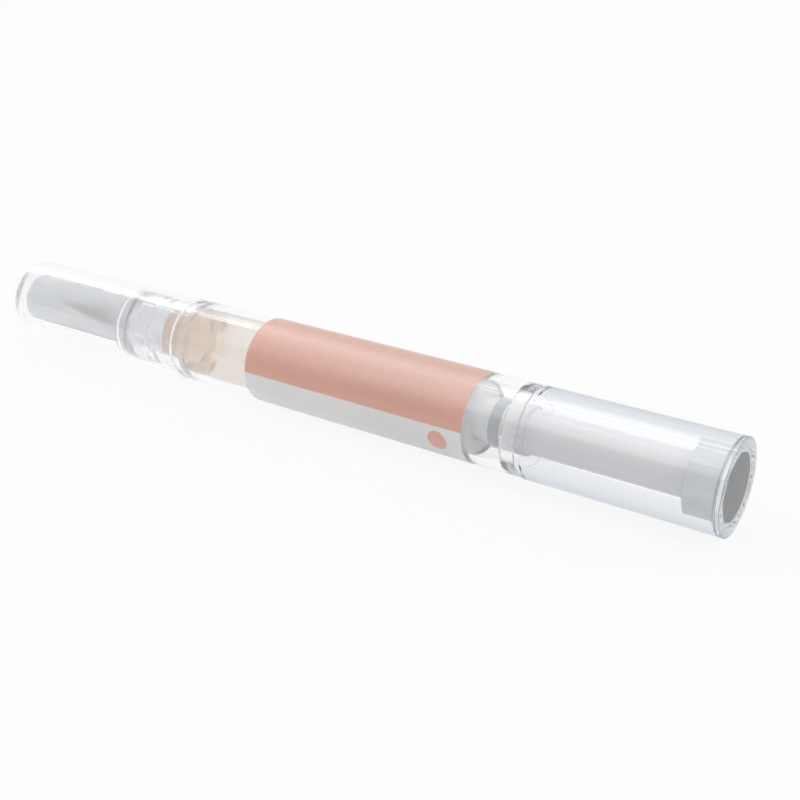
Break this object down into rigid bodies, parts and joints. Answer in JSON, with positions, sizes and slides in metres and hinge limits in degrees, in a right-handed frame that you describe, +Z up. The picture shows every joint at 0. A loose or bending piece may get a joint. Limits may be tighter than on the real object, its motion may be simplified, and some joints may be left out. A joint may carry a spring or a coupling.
{
  "type": "twist-up oil pen",
  "caption": "Clear twist-up cosmetic oil pen with a pull-off cap over a pointed brush, a wrapped label on the barrel, and a clear twist knob that drives a screw and piston.",
  "frame": {"origin": "middle of the pen's length, on the surface that the pen lies on", "axes": "+X along the pen's axis towards the end of the knob, +Z up, +Y across"},
  "size_m": [0.12, 0.0124, 0.0124],
  "materials": {
    "clear_shell": "clear, polished",
    "frosted_liner": "translucent",
    "label_film": "printed film, peach above and grey below",
    "natural_plastic": "translucent white",
    "white_plastic": "satin white",
    "grey_plastic": "satin grey",
    "nylon_bristle": "fine strands",
    "oil": "cream coloured oil"
  },
  "bodies": {
    "barrel": {"barrel": "clear_shell", "label": "label_film", "nozzle": "natural_plastic", "bristles": "nylon_bristle", "feed_tube": "natural_plastic", "brush_retainer": "natural_plastic", "guide_sleeve": "white_plastic", "drive_nut": "white_plastic", "ratchet_ring": "grey_plastic", "oil_fill": "oil"},
    "cap": {"cap": "clear_shell", "inner_cap": "frosted_liner"},
    "knob": {"knob": "clear_shell", "tail_plug": "natural_plastic", "rotor_tube": "white_plastic", "pawl_ring": "grey_plastic", "retaining_ring": "grey_plastic"},
    "piston": {"piston": "white_plastic"},
    "screw": {"lead_screw": "white_plastic"}
  },
  "joints": [
    {"name": "cap_pull", "type": "slide", "parent": "barrel", "child": "cap", "axis": [-1, 0, 0], "range_m": [0, 0.045]},
    {"name": "knob_turn", "type": "hinge", "parent": "barrel", "child": "knob", "pos_m": [0, 0, 0.0062], "axis": [-1, 0, 0], "range_deg": [0, 2871], "deforming": ["pawl_ring"]},
    {"name": "piston_slide", "type": "slide", "parent": "barrel", "child": "piston", "axis": [-1, 0, 0], "range_m": [0, 0.03195], "deforming": ["oil_fill"]},
    {"name": "screw_spin", "type": "hinge", "parent": "piston", "child": "screw", "pos_m": [0, 0, 0.0062], "axis": [-1, 0, 0], "range_deg": [0, 2875]}
  ],
  "couplings": [
    {"joint": "piston_slide", "follows": "knob_turn", "m_per_rad": 0.00063662},
    {"joint": "screw_spin", "follows": "knob_turn", "ratio": 1}
  ]
}
